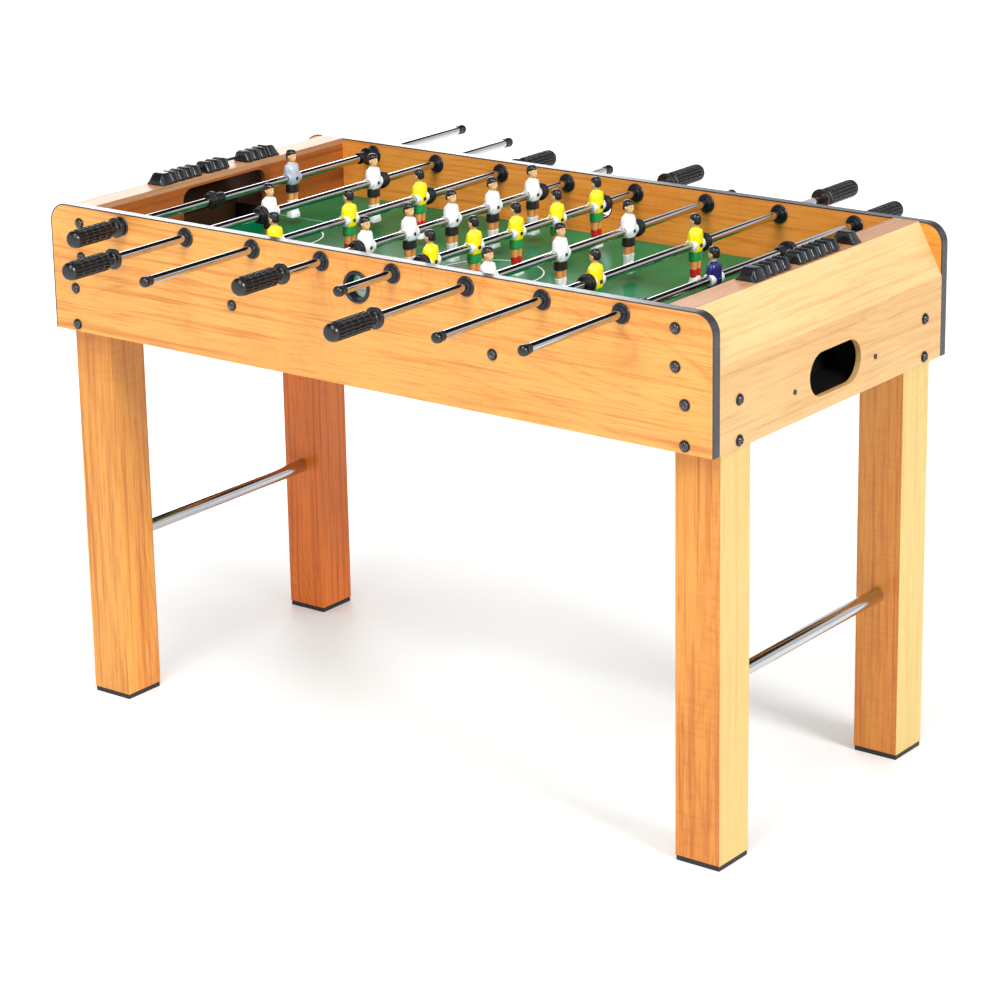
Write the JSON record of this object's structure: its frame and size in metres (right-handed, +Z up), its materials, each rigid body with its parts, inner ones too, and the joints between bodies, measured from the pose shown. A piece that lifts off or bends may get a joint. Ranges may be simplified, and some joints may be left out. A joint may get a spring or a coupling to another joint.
{
  "type": "foosball table",
  "caption": "Free-standing table football game: laminated box cabinet on square legs, with sliding and spinning player rods, goals, ball returns and bead scorers.",
  "frame": {"origin": "on the floor at the middle of the four leg pads, below the centre of the cabinet", "axes": "+X along the table's length to the right, +Y across it to the back, +Z up"},
  "size_m": [1.22, 1.139, 0.8345],
  "materials": {
    "panel_wood": "satin laminate",
    "edge_band": "matte",
    "end_wood": "satin laminate",
    "ledge_wood": "satin laminate",
    "goal_wood": "satin laminate",
    "tray_wood": "satin laminate",
    "field_green": "satin laminate",
    "leg_wood": "satin laminate",
    "rubber_black": "matte",
    "chrome": "polished",
    "black_steel": "satin",
    "steel": "satin",
    "black_plastic": "semi-gloss",
    "scorer_black": "semi-gloss",
    "bead_left": "semi-gloss",
    "bead_right": "semi-gloss",
    "player_light": "semi-gloss",
    "player_dark": "semi-gloss",
    "grip_black": "matte"
  },
  "bodies": {
    "table": {"side_panel_front": "panel_wood", "side_panel_back": "panel_wood", "edge_trims": "edge_band", "end_panel_left": "end_wood", "end_panel_right": "end_wood", "end_slopes": "end_wood", "end_ledges": "ledge_wood", "goal_walls": "goal_wood", "ball_trays": "tray_wood", "playfield": "field_green", "field_supports": "tray_wood", "leg_front_left": "leg_wood", "leg_front_right": "leg_wood", "leg_back_left": "leg_wood", "leg_back_right": "leg_wood", "foot_pads": "rubber_black", "cross_tubes": "chrome", "corner_blocks": "tray_wood", "cabinet_bolts": "black_steel", "tray_screws": "steel", "rod_bushings": "black_plastic", "bushing_nuts": "black_plastic", "ball_entry_rings": "black_plastic", "scorer_frames": "scorer_black"},
    "rod_1_slide": {"rod_1_bumpers": "rubber_black"},
    "rod_1_spin": {"rod_1_tube": "chrome", "rod_1_players": "player_light", "rod_1_grip_and_cap": "grip_black"},
    "rod_2_slide": {"rod_2_bumpers": "rubber_black"},
    "rod_2_spin": {"rod_2_tube": "chrome", "rod_2_players": "player_light", "rod_2_grip_and_cap": "grip_black"},
    "rod_3_slide": {"rod_3_bumpers": "rubber_black"},
    "rod_3_spin": {"rod_3_tube": "chrome", "rod_3_players": "player_dark", "rod_3_grip_and_cap": "grip_black"},
    "rod_4_slide": {"rod_4_bumpers": "rubber_black"},
    "rod_4_spin": {"rod_4_tube": "chrome", "rod_4_players": "player_light", "rod_4_grip_and_cap": "grip_black"},
    "rod_5_slide": {"rod_5_bumpers": "rubber_black"},
    "rod_5_spin": {"rod_5_tube": "chrome", "rod_5_players": "player_dark", "rod_5_grip_and_cap": "grip_black"},
    "rod_6_slide": {"rod_6_bumpers": "rubber_black"},
    "rod_6_spin": {"rod_6_tube": "chrome", "rod_6_players": "player_light", "rod_6_grip_and_cap": "grip_black"},
    "rod_7_slide": {"rod_7_bumpers": "rubber_black"},
    "rod_7_spin": {"rod_7_tube": "chrome", "rod_7_players": "player_dark", "rod_7_grip_and_cap": "grip_black"},
    "rod_8_slide": {"rod_8_bumpers": "rubber_black"},
    "rod_8_spin": {"rod_8_tube": "chrome", "rod_8_players": "player_dark", "rod_8_grip_and_cap": "grip_black"},
    "score_left_near": {"beads_left_near": "bead_left"},
    "score_left_far": {"beads_left_far": "bead_left"},
    "score_right_near": {"beads_right_near": "bead_right"},
    "score_right_far": {"beads_right_far": "bead_right"}
  },
  "joints": [
    {"name": "rod_1_push", "type": "slide", "parent": "table", "child": "rod_1_slide", "axis": [0, 1, 0], "range_m": [-0.1734, 0.0004]},
    {"name": "rod_1_turn", "type": "hinge", "parent": "rod_1_slide", "child": "rod_1_spin", "pos_m": [-0.4573, 0.08647, 0.7885], "axis": [0, 1, 0], "continuous": true},
    {"name": "rod_2_push", "type": "slide", "parent": "table", "child": "rod_2_slide", "axis": [0, 1, 0], "range_m": [-0.1405, 0.1273]},
    {"name": "rod_2_turn", "type": "hinge", "parent": "rod_2_slide", "child": "rod_2_spin", "pos_m": [-0.32664, 0.00656, 0.7885], "axis": [0, 1, 0], "continuous": true},
    {"name": "rod_3_push", "type": "slide", "parent": "table", "child": "rod_3_slide", "axis": [0, 1, 0], "range_m": [-0.0009, 0.1749]},
    {"name": "rod_3_turn", "type": "hinge", "parent": "rod_3_slide", "child": "rod_3_spin", "pos_m": [-0.19599, -0.08702, 0.7885], "axis": [0, 1, 0], "continuous": true},
    {"name": "rod_4_push", "type": "slide", "parent": "table", "child": "rod_4_slide", "axis": [0, 1, 0], "range_m": [-0.0516, 0.0582]},
    {"name": "rod_4_turn", "type": "hinge", "parent": "rod_4_slide", "child": "rod_4_spin", "pos_m": [-0.06533, -0.00329, 0.7885], "axis": [0, 1, 0], "continuous": true},
    {"name": "rod_5_push", "type": "slide", "parent": "table", "child": "rod_5_slide", "axis": [0, 1, 0], "range_m": [-0.0379, 0.0719]},
    {"name": "rod_5_turn", "type": "hinge", "parent": "rod_5_slide", "child": "rod_5_spin", "pos_m": [0.06533, -0.01702, 0.7885], "axis": [0, 1, 0], "continuous": true},
    {"name": "rod_6_push", "type": "slide", "parent": "table", "child": "rod_6_slide", "axis": [0, 1, 0], "range_m": [-0.0024, 0.1734]},
    {"name": "rod_6_turn", "type": "hinge", "parent": "rod_6_slide", "child": "rod_6_spin", "pos_m": [0.19599, -0.08553, 0.7885], "axis": [0, 1, 0], "continuous": true},
    {"name": "rod_7_push", "type": "slide", "parent": "table", "child": "rod_7_slide", "axis": [0, 1, 0], "range_m": [-0.0751, 0.1927]},
    {"name": "rod_7_turn", "type": "hinge", "parent": "rod_7_slide", "child": "rod_7_spin", "pos_m": [0.32664, -0.05878, 0.7885], "axis": [0, 1, 0], "continuous": true},
    {"name": "rod_8_push", "type": "slide", "parent": "table", "child": "rod_8_slide", "axis": [0, 1, 0], "range_m": [-0.0031, 0.1707]},
    {"name": "rod_8_turn", "type": "hinge", "parent": "rod_8_slide", "child": "rod_8_spin", "pos_m": [0.4573, -0.08377, 0.7885], "axis": [0, 1, 0], "continuous": true},
    {"name": "score_left_near_slide", "type": "slide", "parent": "table", "child": "score_left_near", "axis": [0, 1, 0], "range_m": [0, 0.0417]},
    {"name": "score_left_far_slide", "type": "slide", "parent": "table", "child": "score_left_far", "axis": [0, 1, 0], "range_m": [-0.0417, 0]},
    {"name": "score_right_near_slide", "type": "slide", "parent": "table", "child": "score_right_near", "axis": [0, 1, 0], "range_m": [0, 0.0227]},
    {"name": "score_right_far_slide", "type": "slide", "parent": "table", "child": "score_right_far", "axis": [0, 1, 0], "range_m": [-0.0227, 0.0322]}
  ]
}
